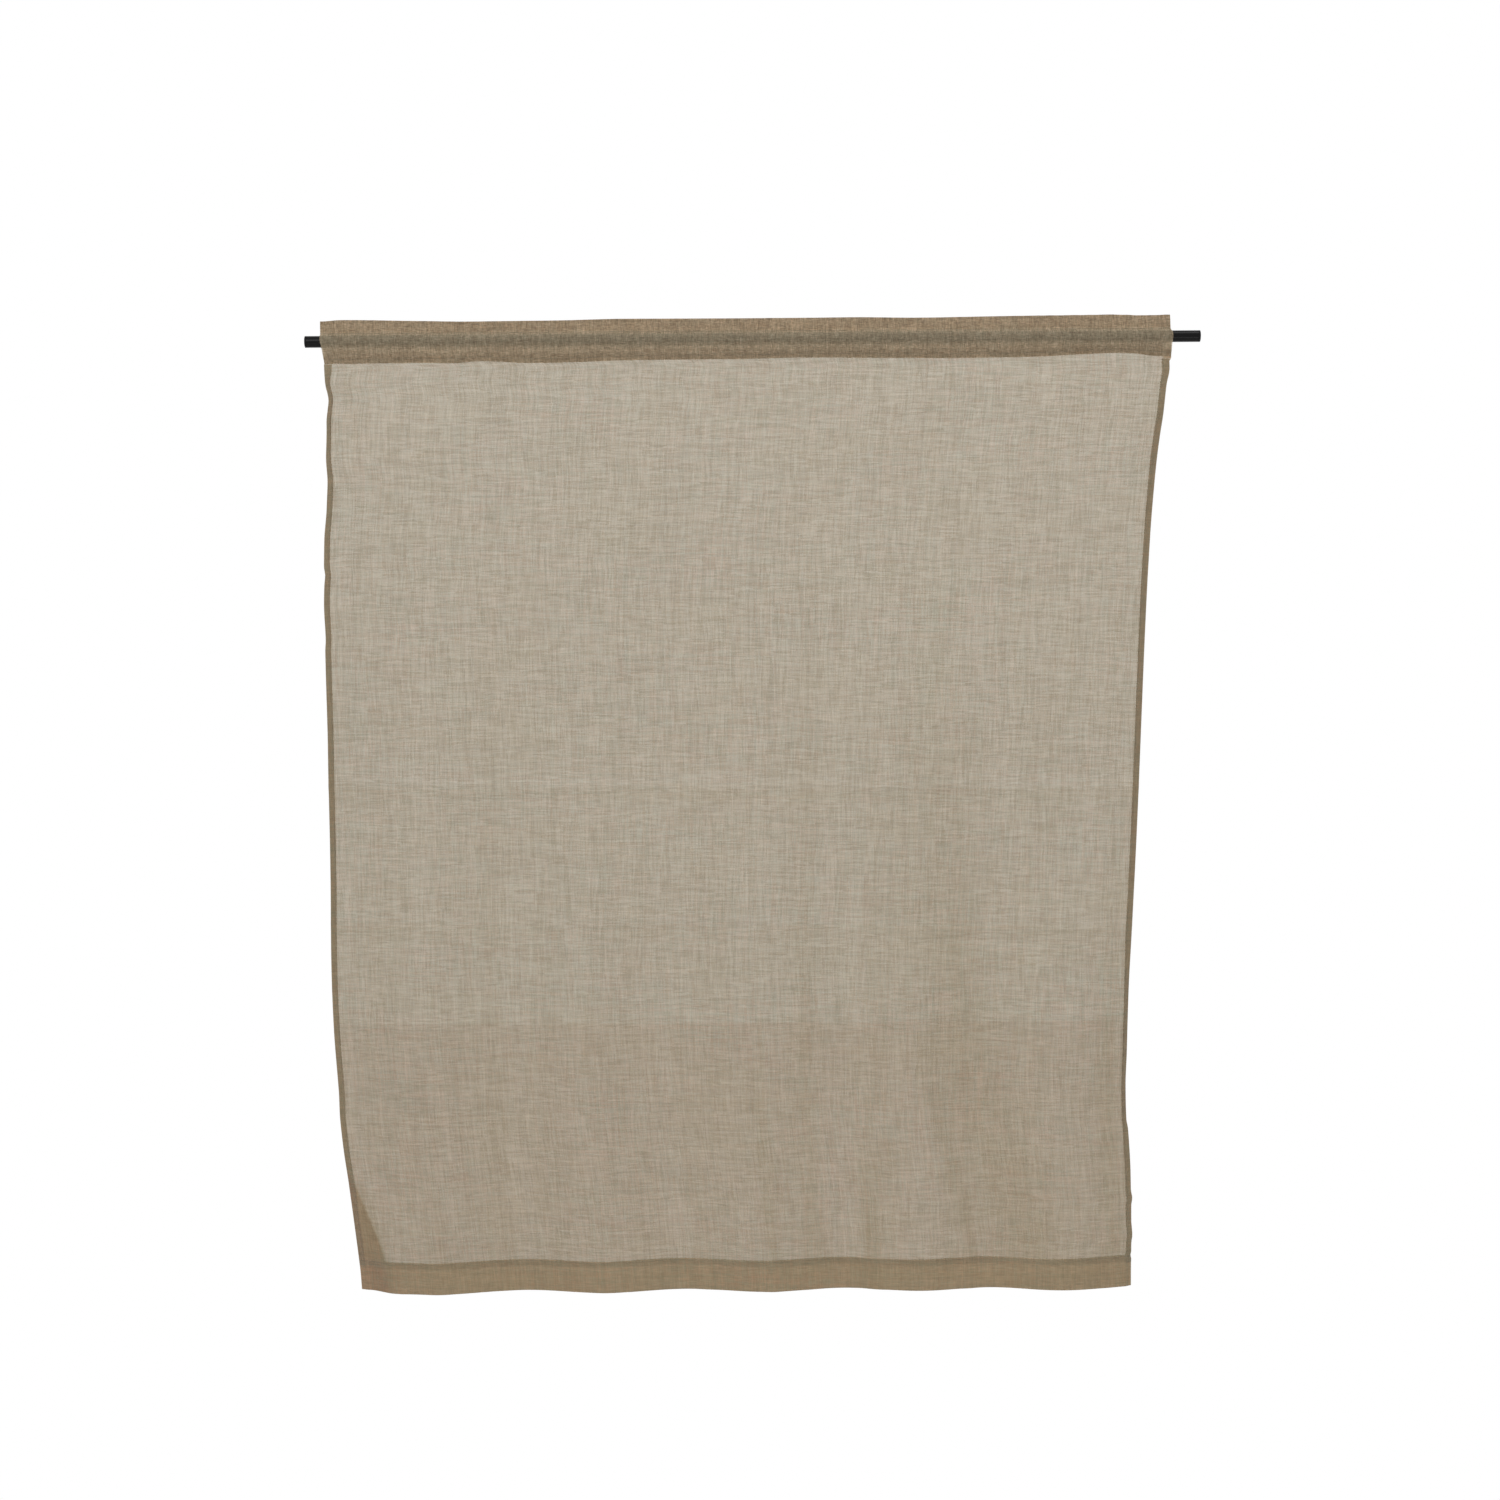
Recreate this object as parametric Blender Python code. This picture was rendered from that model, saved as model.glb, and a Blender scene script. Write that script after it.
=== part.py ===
"""A fabric room curtain panel: one sheer cloth with a rod pocket, hung on a plain round rod.

Metres, +Z up, +X along the rod, and -Y is the room side, the face of the cloth. The origin is on
the rod's axis at the middle of its length. The top of the cloth is turned over to the back and sewn
above and below the rod, so the rod runs through a channel and a short header stands over it.
"""

import math

import bmesh
import bpy

# The rod: a round tube with a flush plug in each end.
ROD_DIAMETER = 0.019
ROD_WALL = 0.001
ROD_SIDES = 48
PLUG_HEAD = 0.0025
PLUG_STEM = 0.018
PLUG_FIT = 0.0003

# The cloth, cut and sewn.
PANEL_WIDTH = 1.400
PANEL_LENGTH = 1.600
CLOTH = 0.0006
LAYER_GAP = 0.0003
SIDE_HEM = 0.012
BOTTOM_HEM = 0.050
THREAD_WIDTH = 0.0008
THREAD_THICKNESS = 0.0004
SEAM_INSET = 0.002

# The heading: header, channel and the turned-in edge under the channel's seam.
HEADER_STAND = 0.023
HEADER_SEAM_RISE = 0.003
CHANNEL_SLACK = 0.018
TURNED_IN_EDGE = 0.008
TURNED_IN_END = 0.003
ROD_CLEARANCE = 0.0004
BARE_ROD_AT_RETURN = 0.025
BARE_ROD_AT_LEADING = 0.051
ARC_STEPS = 10

# How the cloth hangs: folds that deepen downwards, and side edges that draw in.
FOLDS = 5
FOLD_DEPTH = 0.018
FOLD_SHIFT = 0.15
FOLD_LEAN = 0.04
COLUMNS = 44
ROWS = 18
HEM_TOP_CLEARANCE = 0.002

# Share of the hanging length, and how far the edge has moved in from its place at the rod.
RETURN_EDGE = (
    (0.0, 0.0045), (0.035, 0.0125), (0.22, 0.004), (0.51, 0.011), (0.7, 0.014), (0.84, 0.028), (1.0, 0.056)
)
LEADING_EDGE = (
    (0.0, 0.002), (0.06, 0.011), (0.2, 0.0355), (0.52, 0.06), (0.78, 0.079), (0.9, 0.071), (1.0, 0.073)
)

# Places that follow from the sizes.
ROD_RADIUS = ROD_DIAMETER / 2
ROD_LENGTH = BARE_ROD_AT_RETURN + PANEL_WIDTH + BARE_ROD_AT_LEADING
RETURN_X = -ROD_LENGTH / 2 + BARE_ROD_AT_RETURN
LEADING_X = RETURN_X + PANEL_WIDTH
HEADER_TOP = ROD_RADIUS + HEADER_STAND
HEADER_SEAM_Z = ROD_RADIUS + HEADER_SEAM_RISE
CHANNEL_SEAM_Z = -ROD_RADIUS - CHANNEL_SLACK
BAND_EDGE_Z = CHANNEL_SEAM_Z - TURNED_IN_EDGE
DRAPE_TOP = BAND_EDGE_Z - LAYER_GAP
PANEL_FOOT = HEADER_TOP - PANEL_LENGTH
HANGING_LENGTH = DRAPE_TOP - PANEL_FOOT
LAYER = CLOTH + LAYER_GAP
CLOTH_PLANE = -LAYER

LINEN = ((0.46, 0.41, 0.34), 0.9, 0.0)
HEMMED_LINEN = ((0.36, 0.30, 0.23), 0.9, 0.0)
THREAD = ((0.42, 0.36, 0.29), 0.8, 0.0)
BLACK_STEEL = ((0.012, 0.012, 0.012), 0.38, 0.6)
BLACK_PLASTIC = ((0.015, 0.015, 0.015), 0.45, 0.0)


def clear_scene():
    for thing in list(bpy.data.objects):
        bpy.data.objects.remove(thing, do_unlink=True)


def finish_of(name, look):
    colour, roughness, metallic = look
    material = bpy.data.materials.new(name)
    material.use_nodes = True
    shader = material.node_tree.nodes["Principled BSDF"]
    shader.inputs["Base Color"].default_value = (*colour, 1.0)
    shader.inputs["Roughness"].default_value = roughness
    shader.inputs["Metallic"].default_value = metallic
    return material


def add_carrier(name, place):
    """An empty on a joint's axis, from which the pieces that move together hang."""
    carrier = bpy.data.objects.new(name, None)
    carrier.location = place
    bpy.context.scene.collection.objects.link(carrier)
    return carrier


def add_piece(name, points, faces, look, carrier, smooth=False):
    """One closed mesh, given in world metres, as a named object that its carrier moves."""
    mesh = bpy.data.meshes.new(name)
    base = carrier.location
    mesh.from_pydata([(x - base.x, y - base.y, z - base.z) for x, y, z in points], [], faces)
    outward = bmesh.new()
    outward.from_mesh(mesh)
    bmesh.ops.recalc_face_normals(outward, faces=outward.faces)
    outward.to_mesh(mesh)
    outward.free()
    mesh.materials.append(finish_of(name, look))
    if smooth:
        mesh.shade_smooth()
        mesh.set_sharp_from_angle(angle=math.radians(40))
    piece = bpy.data.objects.new(name, mesh)
    bpy.context.scene.collection.objects.link(piece)
    piece.parent = carrier


def turned(profile, ring_shaped):
    """(x, radius) points turned about the rod's axis: a ring whose profile closes, or a capped solid."""
    count = len(profile)
    points = []
    for side in range(ROD_SIDES):
        angle = 2 * math.pi * side / ROD_SIDES
        points += [(x, r * math.cos(angle), r * math.sin(angle)) for x, r in profile]
    faces = []
    for side in range(ROD_SIDES):
        here, there = side * count, (side + 1) % ROD_SIDES * count
        for i in range(count if ring_shaped else count - 1):
            j = (i + 1) % count
            faces.append((here + i, there + i, there + j, here + j))
    if not ring_shaped:
        faces.append([side * count for side in range(ROD_SIDES)])
        faces.append([side * count + count - 1 for side in range(ROD_SIDES)])
    return points, faces


def strip(path, thickness):
    """The closed outline, in (y, z), of a strip of cloth whose middle follows the path."""
    left, right = [], []
    for i, (y, z) in enumerate(path):
        before, after = path[max(i - 1, 0)], path[min(i + 1, len(path) - 1)]
        into, out = unit(before, (y, z)), unit((y, z), after)
        into, out = into or out, out or into
        normal = (-(into[1] + out[1]), into[0] + out[0])
        reach = thickness / (normal[0] ** 2 + normal[1] ** 2)
        left.append((y + normal[0] * reach, z + normal[1] * reach))
        right.append((y - normal[0] * reach, z - normal[1] * reach))
    return left + right[::-1]


def unit(start, end):
    """The direction between two (y, z) points, or None where they are the same."""
    dy, dz = end[0] - start[0], end[1] - start[1]
    length = math.hypot(dy, dz)
    return (dy / length, dz / length) if length else None


def arc(y, z, radius, start, end):
    """Points in (y, z) on an arc. Angles are in degrees from +Z, and positive towards +Y."""
    angles = [math.radians(start + (end - start) * i / ARC_STEPS) for i in range(ARC_STEPS + 1)]
    return [(y + radius * math.sin(a), z + radius * math.cos(a)) for a in angles]


def along_rod(outline, start_x, end_x):
    """A (y, z) outline extruded along the rod."""
    count = len(outline)
    points = [(x, y, z) for x in (start_x, end_x) for y, z in outline]
    faces = [(i, (i + 1) % count, (i + 1) % count + count, i + count) for i in range(count)]
    return points, faces + [list(range(count)), list(range(count, 2 * count))]


def heading_path():
    """The middle of the cloth, from the front's lower edge, over the header, to the turned-in end."""
    half = LAYER / 2
    wrap = ROD_RADIUS + ROD_CLEARANCE + CLOTH / 2
    top_tangent = math.degrees(math.acos((wrap - half) / HEADER_SEAM_Z))
    foot_tangent = math.degrees(math.acos((wrap - LAYER) / -CHANNEL_SEAM_Z))
    front = arc(0, 0, wrap, foot_tangent - 180, -top_tangent)
    path = [(-LAYER, BAND_EDGE_Z), (-LAYER, CHANNEL_SEAM_Z)] + front + [(-half, HEADER_SEAM_Z)]
    path += arc(0, HEADER_TOP - CLOTH / 2 - half, half, -90, 90)
    path += [(half, HEADER_SEAM_Z)] + [(-y, z) for y, z in front[::-1]]
    path += [(LAYER, CHANNEL_SEAM_Z), (LAYER, BAND_EDGE_Z + CLOTH / 2 + half)]
    path += arc(half, BAND_EDGE_Z + CLOTH / 2 + half, half, 90, 270)[1:]
    return path + [(0, CHANNEL_SEAM_Z + TURNED_IN_END)]


def through(stops, share):
    """A smooth curve through (share, value) stops, read at a share."""
    last = len(stops) - 2
    i = next((k for k in range(last) if share < stops[k + 1][0]), last)
    (a, start), (b, end) = stops[i], stops[i + 1]
    before, after = stops[max(i - 1, 0)], stops[min(i + 2, last + 1)]
    run = b - a
    leave = (end - before[1]) / (b - before[0]) * run
    arrive = (after[1] - start) / (after[0] - a) * run
    s = (share - a) / run
    return (
        (2 * s**3 - 3 * s**2 + 1) * start
        + (s**3 - 2 * s**2 + s) * leave
        + (3 * s**2 - 2 * s**3) * end
        + (s**3 - s**2) * arrive
    )


def fold(across, down):
    """How far the cloth stands off its plane, towards the back, at a share across and down."""
    deepening = down * down * (3 - 2 * down)
    phase = FOLDS * across + FOLD_SHIFT + FOLD_LEAN * math.sin(2 * math.pi * across + down)
    return FOLD_DEPTH * deepening * math.sin(2 * math.pi * phase)


def cloth_columns():
    """Each column of the cloth as (share of the way across, offset from that side's edge)."""
    seam = SIDE_HEM - SEAM_INSET
    edge = [0, seam - THREAD_WIDTH / 2, seam + THREAD_WIDTH / 2, SIDE_HEM]
    inner = [(i / COLUMNS, 0) for i in range(1, COLUMNS)]
    return [(0, offset) for offset in edge] + inner + [(1, -offset) for offset in edge[::-1]]


def cloth_rows():
    """Heights from the drape's top to its foot, with a row at each edge of a hem or a seam."""
    hem_top = PANEL_FOOT + BOTTOM_HEM
    seam = hem_top - SEAM_INSET
    side_hem_foot = hem_top + LAYER_GAP
    span = DRAPE_TOP - HEM_TOP_CLEARANCE - side_hem_foot
    rows = [DRAPE_TOP] + [side_hem_foot + span * (ROWS - i) / ROWS for i in range(ROWS + 1)]
    return rows + [hem_top, seam + THREAD_WIDTH / 2, seam - THREAD_WIDTH / 2, PANEL_FOOT]


def cloth_point(column, z, stand_off):
    """A point on a column at a height, with its distance behind the middle of the cloth."""
    down = (DRAPE_TOP - z) / HANGING_LENGTH
    left = RETURN_X + through(RETURN_EDGE, down)
    right = LEADING_X - through(LEADING_EDGE, down)
    x = left + (right - left) * column[0] + column[1]
    across = (x - left) / (right - left)
    return x, CLOTH_PLANE + fold(across, down) + stand_off, z


def slab(columns, rows, middle, thickness):
    """A closed sheet over these columns and rows, as triangles that lie alike on every sheet."""
    wide, high = len(columns), len(rows)
    points = []
    for stand_off in (middle - thickness / 2, middle + thickness / 2):
        points += [cloth_point(column, z, stand_off) for z in rows for column in columns]
    faces = []
    for row in range(high - 1):
        for column in range(wide - 1):
            a = row * wide + column
            for side in (a, a + wide * high):
                faces.append((side, side + 1, side + wide))
                faces.append((side + 1, side + wide + 1, side + wide))
    rim = list(range(wide)) + [row * wide + wide - 1 for row in range(1, high)]
    rim += [(high - 1) * wide + column for column in range(wide - 2, -1, -1)]
    rim += [row * wide for row in range(high - 2, 0, -1)]
    for i, start in enumerate(rim):
        end = rim[(i + 1) % len(rim)]
        faces.append((start, end, end + wide * high, start + wide * high))
    return points, faces


def make_rod(carrier):
    """The tube, and a plug at each end whose head is flush with the tube's outside."""
    bore = ROD_RADIUS - ROD_WALL
    tube_end = ROD_LENGTH / 2 - PLUG_HEAD - PLUG_FIT
    tube = [(-tube_end, ROD_RADIUS), (tube_end, ROD_RADIUS), (tube_end, bore), (-tube_end, bore)]
    add_piece("rod_tube", *turned(tube, True), BLACK_STEEL, carrier, smooth=True)
    for side, name in ((-1, "end_plug_left"), (1, "end_plug_right")):
        face = side * ROD_LENGTH / 2
        neck = face - side * PLUG_HEAD
        foot = neck - side * PLUG_STEM
        stem = bore - PLUG_FIT
        plug = [(face, ROD_RADIUS), (neck, ROD_RADIUS), (neck, stem), (foot, stem)]
        add_piece(name, *turned(plug, False), BLACK_PLASTIC, carrier, smooth=True)


def make_heading(carrier):
    """The folded top of the cloth, with a row of thread above the rod and one below it."""
    pocket = strip(heading_path(), CLOTH)
    add_piece("heading_pocket", *along_rod(pocket, RETURN_X, LEADING_X), HEMMED_LINEN, carrier)
    header_face = -LAYER / 2 - CLOTH / 2 - LAYER_GAP
    band_face = -LAYER - CLOTH / 2 - LAYER_GAP
    header_row = HEADER_SEAM_Z + THREAD_WIDTH
    channel_row = CHANNEL_SEAM_Z - THREAD_WIDTH
    for name, face, z in (
        ("header_seam", header_face, header_row),
        ("channel_seam", band_face, channel_row),
    ):
        low, high = z - THREAD_WIDTH / 2, z + THREAD_WIDTH / 2
        front = face - THREAD_THICKNESS
        row = [(front, low), (face, low), (face, high), (front, high)]
        add_piece(name, *along_rod(row, RETURN_X, LEADING_X), THREAD, carrier)


def make_drape(carrier, edge_carrier):
    """The hanging cloth, its hems on the back and the rows of thread on its face."""
    columns, rows = cloth_columns(), cloth_rows()
    hem_rows, foot_rows = rows[1:-4], rows[-4:]
    hem_off = CLOTH / 2 + LAYER_GAP + CLOTH
    thread_off = -CLOTH / 2 - LAYER_GAP - THREAD_THICKNESS / 2
    add_piece("drape_cloth", *slab(columns, rows, 0, CLOTH), LINEN, carrier)
    sides = (("return", columns[:4], carrier), ("leading", columns[-4:], edge_carrier))
    for side, hem_columns, mover in sides:
        hem = slab(hem_columns, hem_rows, hem_off, 2 * CLOTH)
        seam = slab(hem_columns[1:3], hem_rows, thread_off, THREAD_THICKNESS)
        add_piece(side + "_side_hem", *hem, HEMMED_LINEN, mover)
        add_piece(side + "_side_seam", *seam, THREAD, mover)
    hem = slab(columns, foot_rows, hem_off, 2 * CLOTH)
    seam = slab(columns, foot_rows[1:3], thread_off, THREAD_THICKNESS)
    add_piece("bottom_hem", *hem, HEMMED_LINEN, carrier)
    add_piece("bottom_hem_seam", *seam, THREAD, carrier)


clear_scene()
rod_axis = add_carrier("rod_axis", (0, 0, 0))
heading_slide = add_carrier("heading_slide", (0, 0, 0))
drape_hinge = add_carrier("drape_hinge", (0, CLOTH_PLANE, BAND_EDGE_Z))
leading_slide = add_carrier("leading_slide", (LEADING_X, CLOTH_PLANE, BAND_EDGE_Z))
make_rod(rod_axis)
make_heading(heading_slide)
make_drape(drape_hinge, leading_slide)
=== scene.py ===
"""A sheer linen-look curtain panel on a plain black rod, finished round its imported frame.

Metres, +Z up, +X along the rod from the return edge to the leading edge, and -Y is the room side.
"""
import math

import bpy
import numpy as np
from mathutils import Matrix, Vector


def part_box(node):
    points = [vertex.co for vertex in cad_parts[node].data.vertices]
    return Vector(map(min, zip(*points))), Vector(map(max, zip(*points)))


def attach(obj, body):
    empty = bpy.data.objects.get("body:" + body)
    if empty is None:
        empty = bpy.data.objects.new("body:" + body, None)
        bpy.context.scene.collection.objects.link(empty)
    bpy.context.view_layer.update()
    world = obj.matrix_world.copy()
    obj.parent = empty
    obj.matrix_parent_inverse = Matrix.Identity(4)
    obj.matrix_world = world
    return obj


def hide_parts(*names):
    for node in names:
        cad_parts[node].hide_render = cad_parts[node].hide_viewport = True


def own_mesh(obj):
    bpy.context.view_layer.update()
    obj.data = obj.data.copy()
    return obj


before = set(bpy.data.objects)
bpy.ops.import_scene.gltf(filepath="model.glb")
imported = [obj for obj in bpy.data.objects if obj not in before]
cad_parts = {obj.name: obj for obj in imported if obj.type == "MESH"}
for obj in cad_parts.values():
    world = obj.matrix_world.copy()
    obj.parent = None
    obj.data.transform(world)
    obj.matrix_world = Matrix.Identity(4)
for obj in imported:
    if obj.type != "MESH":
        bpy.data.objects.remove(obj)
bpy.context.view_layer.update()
scene = bpy.context.scene

# ---- The room: a pale floor, an even white sky, soft lamps and the camera ----
# The camera stands level with the middle of the view, as far off as a person would. The floor ends
# well behind the curtain, so its far edge shows faintly through the lower part of the cloth.
FLOOR_Z = -2.05
FLOOR_BACK = 8.2
FLOOR_REACH = 12.0
VIEW_WIDTH = 2.4735
VIEW_DISTANCE = 4.0
VIEW_MIDDLE = (-0.0086, -0.6777)
CAMERA_ROLL = 0.38
SENSOR = 36.0
SKY_HIGH = 1.91
SKY_LOW = 1.54
SKY_LIGHT = 0.54
FLOOR_SEEN = (1.34, 1.25, 1.26)
FLOOR_PAINT = (0.85, 0.85, 0.85)
WHITE = (1, 1, 1, 1)
SKY_RISE = (-0.1, 0.16)
LAMPS = (
    ("front_lamp", (-1.6, -3.6, 1.6), (0, 0, -0.7), (2.4, 1.8), 25.5),
    ("top_lamp", (0.3, -0.9, 1.7), (0, 0, 0), (2.2, 0.8), 10),
    ("low_lamp", (0.2, -2.4, -1.9), (0, 0, -0.1), (2.4, 0.9), 9),
    ("back_lamp", (1.2, 3.2, 1.4), (0, 0, -0.7), (2.4, 1.8), 12),
)

camera = bpy.data.objects.new("camera", bpy.data.cameras.new("camera"))
scene.collection.objects.link(camera)
camera.data.sensor_width = SENSOR
camera.data.lens = SENSOR * VIEW_DISTANCE / VIEW_WIDTH
camera.location = (VIEW_MIDDLE[0], -VIEW_DISTANCE, VIEW_MIDDLE[1])
camera.rotation_euler = (math.radians(90), math.radians(CAMERA_ROLL), 0)
scene.camera = camera
scene.view_settings.view_transform = "Standard"


def seen_apart(tree, through_cloth, cast):
    """Plain white where it is seen past the curtain, brighter where it shows through the cloth, and
    another shader for the light that it gives the curtain."""
    path = tree.nodes.new("ShaderNodeLightPath")
    plain = tree.nodes.new("ShaderNodeEmission")
    plain.inputs["Color"].default_value = WHITE
    shader = plain.outputs[0]
    for share, other in (("Transparent Depth", through_cloth), ("Is Camera Ray", cast)):
        mix = tree.nodes.new("ShaderNodeMixShader")
        tree.links.new(path.outputs[share], mix.inputs["Fac"])
        first, second = (shader, other) if other is through_cloth else (other, shader)
        tree.links.new(first, mix.inputs[1])
        tree.links.new(second, mix.inputs[2])
        shader = mix.outputs[0]
    return shader


MAP_ENDS = ("From Min", "From Max", "To Min", "To Max")


def light_room():
    """A white sky. Through the cloth it is brightest above, and as a light it is dimmer, so that
    the cloth isn't bleached."""
    scene.world = bpy.data.worlds.new("sky")
    scene.world.use_nodes = True
    tree = scene.world.node_tree
    seen, cast = tree.nodes["Background"], tree.nodes.new("ShaderNodeBackground")
    seen.inputs["Color"].default_value = cast.inputs["Color"].default_value = WHITE
    cast.inputs["Strength"].default_value = SKY_LIGHT
    height = tree.nodes.new("ShaderNodeSeparateXYZ")
    tree.links.new(tree.nodes.new("ShaderNodeTexCoord").outputs["Generated"], height.inputs[0])
    rising = tree.nodes.new("ShaderNodeMapRange")
    tree.links.new(height.outputs["Z"], rising.inputs["Value"])
    for name, number in zip(MAP_ENDS, (*SKY_RISE, SKY_LOW, SKY_HIGH)):
        rising.inputs[name].default_value = number
    tree.links.new(rising.outputs["Result"], seen.inputs["Strength"])
    both = seen_apart(tree, seen.outputs[0], cast.outputs[0])
    tree.links.new(both, tree.nodes["World Output"].inputs["Surface"])


def add_lamp(name, place, aim, size, power):
    """A soft rectangular lamp at a place, turned to the point that it lights."""
    lamp = bpy.data.objects.new(name, bpy.data.lights.new(name, "AREA"))
    scene.collection.objects.link(lamp)
    lamp.data.shape = "RECTANGLE"
    lamp.data.size, lamp.data.size_y = size
    lamp.data.energy = power
    lamp.location = place
    lamp.rotation_euler = (Vector(aim) - Vector(place)).to_track_quat("-Z", "Y").to_euler()


def add_floor():
    """A pale matt floor that meets the sky without a line, except through the cloth."""
    mesh = bpy.data.meshes.new("floor")
    corners = [(-FLOOR_REACH, -FLOOR_REACH), (FLOOR_REACH, -FLOOR_REACH)]
    corners += [(FLOOR_REACH, FLOOR_BACK), (-FLOOR_REACH, FLOOR_BACK)]
    mesh.from_pydata([(x, y, FLOOR_Z) for x, y in corners], [], [(0, 1, 2, 3)])
    floor = bpy.data.objects.new("floor", mesh)
    scene.collection.objects.link(floor)
    paint = bpy.data.materials.new("floor_paint")
    paint.use_nodes = True
    tree = paint.node_tree
    shader = tree.nodes["Principled BSDF"]
    shader.inputs["Base Color"].default_value = (*FLOOR_PAINT, 1)
    shader.inputs["Roughness"].default_value = 0.9
    seen = tree.nodes.new("ShaderNodeEmission")
    seen.inputs["Color"].default_value = (*FLOOR_SEEN, 1)
    both = seen_apart(tree, seen.outputs[0], shader.outputs[0])
    tree.links.new(both, tree.nodes["Material Output"].inputs["Surface"])
    mesh.materials.append(paint)


light_room()
for lamp_values in LAMPS:
    add_lamp(*lamp_values)
add_floor()

# ---- The rod ----
# A thin steel tube, powder-coated satin black, with a flat plastic plug pressed into each end. The
# plugs sit flush with the tube's outside, and their faces are moulded with a shallow gate dimple.
tube_low, tube_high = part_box("rod_tube")
ROD_RADIUS = (tube_high.z - tube_low.z) / 2
ROD_WALL = 0.001
ROD_SIDES = 96
PLUG_SIDES = 64
SHARP_EDGE = 35
LIP = 0.0004
PLUG_GAP = 0.0001
STEM_GAP = 0.0003
DIMPLE = 0.0018
DIMPLE_DEPTH = 0.0004
ROD_BLACK = (0.002, 0.002, 0.0021)
ROD_ROUGHNESS = 0.22
PLUG_BLACK = (0.006, 0.006, 0.0062)
PLUG_ROUGHNESS = 0.5
SCUFFED = 3.2
COAT_SPECULAR = 0.26
PEEL_HEIGHT = 0.00008


def new_piece(name, points, faces):
    """A smooth-shaded mesh object at the origin."""
    mesh = bpy.data.meshes.new(name)
    mesh.from_pydata(np.asarray(points).tolist(), [], np.asarray(faces, dtype=object).tolist())
    mesh.validate()
    mesh.shade_smooth()
    piece = bpy.data.objects.new(name, mesh)
    scene.collection.objects.link(piece)
    return piece


def lathe(name, profile, sides, closed):
    """Turns an (x, radius) profile about the rod's axis: a closed one into a tube with its wall,
    and an open one into a solid with a flat cap at each end."""
    count = len(profile)
    points = []
    for side in range(sides):
        angle = 2 * math.pi * side / sides
        points += [(x, r * math.cos(angle), r * math.sin(angle)) for x, r in profile]
    faces = []
    for side in range(sides):
        here, there = side * count, (side + 1) % sides * count
        for i in range(count if closed else count - 1):
            j = (i + 1) % count
            faces.append((here + i, there + i, there + j, here + j))
    if not closed:
        faces.append([side * count for side in range(sides)][::-1])
        faces.append([side * count + count - 1 for side in range(sides)])
    piece = new_piece(name, points, faces)
    piece.data.set_sharp_from_angle(angle=math.radians(SHARP_EDGE))
    return piece


def mixed(tree, factor, one, other, blend="MIX"):
    """A colour mix of two sockets or colours, by a socket or a number."""
    node = tree.nodes.new("ShaderNodeMix")
    node.data_type = "RGBA"
    node.blend_type = blend
    sockets = (node.inputs["Factor"], node.inputs[6], node.inputs[7])
    for socket, value in zip(sockets, (factor, one, other)):
        if isinstance(value, bpy.types.NodeSocket):
            tree.links.new(value, socket)
        else:
            socket.default_value = value if isinstance(value, float) else (*value, 1.0)
    return node.outputs[2]


def ranged(tree, value, low, high, to_low, to_high):
    """A value's range mapped to another."""
    node = tree.nodes.new("ShaderNodeMapRange")
    tree.links.new(value, node.inputs["Value"])
    for name, number in zip(MAP_ENDS, (low, high, to_low, to_high)):
        node.inputs[name].default_value = number
    return node.outputs["Result"]


def noise(tree, coordinates, stretch, detail=2.0, roughness=0.5):
    """Noise over coordinates that are first stretched, in cycles a metre along each axis."""
    mapping = tree.nodes.new("ShaderNodeMapping")
    mapping.inputs["Scale"].default_value = stretch
    tree.links.new(coordinates, mapping.inputs["Vector"])
    node = tree.nodes.new("ShaderNodeTexNoise")
    node.inputs["Scale"].default_value = 1.0
    node.inputs["Detail"].default_value = detail
    node.inputs["Roughness"].default_value = roughness
    tree.links.new(mapping.outputs["Vector"], node.inputs["Vector"])
    return node.outputs["Fac"]


def slub(tree, coordinates, stretch):
    """Short thick and thin lengths of yarn at random places, in cycles a metre along each axis."""
    mapping = tree.nodes.new("ShaderNodeMapping")
    mapping.inputs["Scale"].default_value = (*stretch, 1)
    tree.links.new(coordinates, mapping.inputs["Vector"])
    node = tree.nodes.new("ShaderNodeTexVoronoi")
    node.voronoi_dimensions = "2D"
    node.inputs["Scale"].default_value = 1.0
    tree.links.new(mapping.outputs["Vector"], node.inputs["Vector"])
    return node.outputs["Color"]


def bumped(tree, height, distance, strength):
    """A normal tilted by a height that is this many metres deep."""
    node = tree.nodes.new("ShaderNodeBump")
    node.inputs["Distance"].default_value = distance
    node.inputs["Strength"].default_value = strength
    tree.links.new(height, node.inputs["Height"])
    return node.outputs["Normal"]


def powder_coat(name, colour, rough):
    """Satin black paint with fine orange peel, scuffed a little lighter in faint patches."""
    paint = bpy.data.materials.new(name)
    paint.use_nodes = True
    tree = paint.node_tree
    shader = tree.nodes["Principled BSDF"]
    place = tree.nodes.new("ShaderNodeTexCoord").outputs["Object"]
    peel = noise(tree, place, (1400, 1400, 1400), 1.0)
    scuffs = noise(tree, place, (40, 260, 260), 4.0, 0.65)
    worn = tuple(SCUFFED * channel for channel in colour)
    shade = mixed(tree, ranged(tree, scuffs, 0.55, 0.8, 0.0, 0.5), colour, worn)
    gloss = ranged(tree, scuffs, 0.3, 0.7, rough - 0.05, rough + 0.08)
    tree.links.new(shade, shader.inputs["Base Color"])
    tree.links.new(gloss, shader.inputs["Roughness"])
    shader.inputs["Specular IOR Level"].default_value = COAT_SPECULAR
    tree.links.new(bumped(tree, peel, PEEL_HEIGHT, 0.35), shader.inputs["Normal"])
    return paint


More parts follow.
